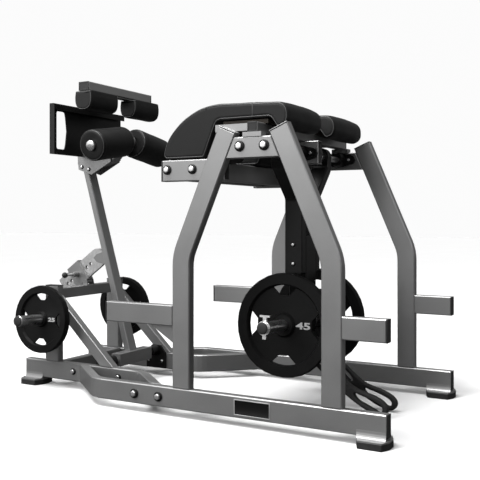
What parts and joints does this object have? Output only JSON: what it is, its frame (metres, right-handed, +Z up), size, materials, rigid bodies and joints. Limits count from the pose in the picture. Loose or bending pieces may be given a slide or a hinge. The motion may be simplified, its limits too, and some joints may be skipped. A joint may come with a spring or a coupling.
{
  "type": "reverse hyperextension machine",
  "caption": "Steel reverse hyperextension machine: A-frame, twin hip pads, swinging weight pendulum with foot straps, and a tilting foot end with rollers.",
  "frame": {"origin": "middle of the machine's footprint, on the floor", "axes": "+X along the machine towards the pendulum's strap end, +Y across to the far side, +Z up"},
  "size_m": [2.008, 1.048, 1.504],
  "materials": {
    "frame_paint": "satin metallic silver powder coat",
    "black_paint": "satin black",
    "pad_vinyl": "black upholstery vinyl",
    "rubber": "matte",
    "black_plastic": "matte",
    "chrome": "polished",
    "zinc": "zinc plated",
    "plate_iron": "black coated",
    "webbing": "woven webbing",
    "board": "plywood"
  },
  "bodies": {
    "frame": {"outer_rail_near": "frame_paint", "outer_rail_far": "frame_paint", "inner_rail_near": "frame_paint", "inner_rail_far": "frame_paint", "rear_upright_near": "frame_paint", "rear_upright_far": "frame_paint", "leg_rear_near": "frame_paint", "leg_rear_far": "frame_paint", "leg_front_near": "frame_paint", "leg_front_far": "frame_paint", "head_tube_near": "frame_paint", "head_tube_far": "frame_paint", "pad_beam_near": "frame_paint", "pad_beam_far": "frame_paint", "rear_base_tube": "frame_paint", "rear_top_tube": "frame_paint", "pad_cross_tube_rear": "frame_paint", "pad_cross_tube_front": "frame_paint", "pad_carrier": "frame_paint", "bearing_outer_near": "black_paint", "bearing_outer_far": "black_paint", "bearing_inner_near": "black_paint", "bearing_inner_far": "black_paint", "post_bearing_near": "black_paint", "post_bearing_far": "black_paint", "pad_board_near": "board", "hip_pad_near": "pad_vinyl", "storage_horn_near": "chrome", "rubber_foot_front_near": "rubber", "rubber_foot_rear_near": "rubber", "pad_board_far": "board", "hip_pad_far": "pad_vinyl", "storage_horn_far": "chrome", "rubber_foot_front_far": "rubber", "rubber_foot_rear_far": "rubber"},
    "pendulum": {"pendulum_arm_near": "black_paint", "pendulum_arm_far": "black_paint", "pendulum_column": "black_paint", "pivot_shaft": "chrome", "weight_sleeve_near": "chrome", "weight_sleeve_far": "chrome", "strap_bar": "black_paint"},
    "foot_end": {"foot_post": "frame_paint", "foot_head": "frame_paint", "footplate": "black_paint", "upper_pad_near": "pad_vinyl", "upper_pad_far": "pad_vinyl"},
    "adjuster_bar": {"adjuster_bar": "zinc"},
    "adjuster_clamp": {"adjuster_clamp": "frame_paint"},
    "pull_pin": {"pull_pin": "black_plastic"},
    "plate_45_near": {"plate_45_near": "plate_iron"},
    "collar_near": {"collar_near": "chrome"},
    "plate_25_near": {"plate_25_near": "plate_iron"},
    "strap_near": {"strap_near": "webbing"},
    "foot_roller_near": {"foot_roller_near": "pad_vinyl"},
    "plate_45_far": {"plate_45_far": "plate_iron"},
    "collar_far": {"collar_far": "chrome"},
    "plate_25_far": {"plate_25_far": "plate_iron"},
    "strap_far": {"strap_far": "webbing"},
    "foot_roller_far": {"foot_roller_far": "pad_vinyl"}
  },
  "joints": [
    {"name": "pendulum_swing", "type": "hinge", "parent": "frame", "child": "pendulum", "pos_m": [0.437, 0, 1.126], "axis": [0, 1, 0], "range_deg": [-85, 35]},
    {"name": "strap_swing_near", "type": "hinge", "parent": "pendulum", "child": "strap_near", "pos_m": [0.477, 0, 0.272], "axis": [0, 1, 0], "range_deg": [-35, 85]},
    {"name": "plate_45_slide_near", "type": "slide", "parent": "pendulum", "child": "plate_45_near", "axis": [0, -0.9986, 0.0523], "range_m": [-0.05, 0.149]},
    {"name": "collar_slide_near", "type": "slide", "parent": "pendulum", "child": "collar_near", "axis": [0, -0.9986, 0.0523], "range_m": [0, 0.06]},
    {"name": "plate_25_slide_near", "type": "slide", "parent": "frame", "child": "plate_25_near", "axis": [0, -0.9986, 0.0523], "range_m": [-0.035, 0.13]},
    {"name": "strap_swing_far", "type": "hinge", "parent": "pendulum", "child": "strap_far", "pos_m": [0.477, 0, 0.272], "axis": [0, 1, 0], "range_deg": [-35, 85]},
    {"name": "plate_45_slide_far", "type": "slide", "parent": "pendulum", "child": "plate_45_far", "axis": [0, 0.9986, 0.0523], "range_m": [-0.05, 0.149]},
    {"name": "collar_slide_far", "type": "slide", "parent": "pendulum", "child": "collar_far", "axis": [0, 0.9986, 0.0523], "range_m": [0, 0.06]},
    {"name": "plate_25_slide_far", "type": "slide", "parent": "frame", "child": "plate_25_far", "axis": [0, 0.9986, 0.0523], "range_m": [-0.035, 0.13]},
    {"name": "foot_end_tilt", "type": "hinge", "parent": "frame", "child": "foot_end", "pos_m": [-0.518, 0, 0.1335], "axis": [0, 1, 0], "range_deg": [-5, 5]},
    {"name": "adjuster_bar_hinge", "type": "hinge", "parent": "foot_end", "child": "adjuster_bar", "pos_m": [-0.739, 0, 0.6285], "axis": [0, 1, 0], "range_deg": [-0.8, 0.8]},
    {"name": "adjuster_clamp_hinge", "type": "hinge", "parent": "frame", "child": "adjuster_clamp", "pos_m": [-0.807, 0, 0.5037], "axis": [0, 1, 0], "range_deg": [-4.4, 4.4]},
    {"name": "pull_pin_slide", "type": "slide", "parent": "adjuster_clamp", "child": "pull_pin", "axis": [0, -1, 0], "range_m": [0, 0.02], "stiffness_N_per_m": 250, "springref_m": -0.02},
    {"name": "foot_roller_spin_near", "type": "hinge", "parent": "foot_end", "child": "foot_roller_near", "pos_m": [-0.543, 0, 1.232], "axis": [0, -0.9877, -0.1564], "continuous": true},
    {"name": "foot_roller_spin_far", "type": "hinge", "parent": "foot_end", "child": "foot_roller_far", "pos_m": [-0.543, 0, 1.232], "axis": [0, 0.9877, -0.1564], "continuous": true}
  ],
  "couplings": [
    {"joint": "strap_swing_near", "follows": "pendulum_swing", "ratio": -1},
    {"joint": "strap_swing_far", "follows": "pendulum_swing", "ratio": -1},
    {"joint": "adjuster_bar_hinge", "follows": "foot_end_tilt", "ratio": -0.14},
    {"joint": "adjuster_clamp_hinge", "follows": "foot_end_tilt", "ratio": 0.86}
  ]
}
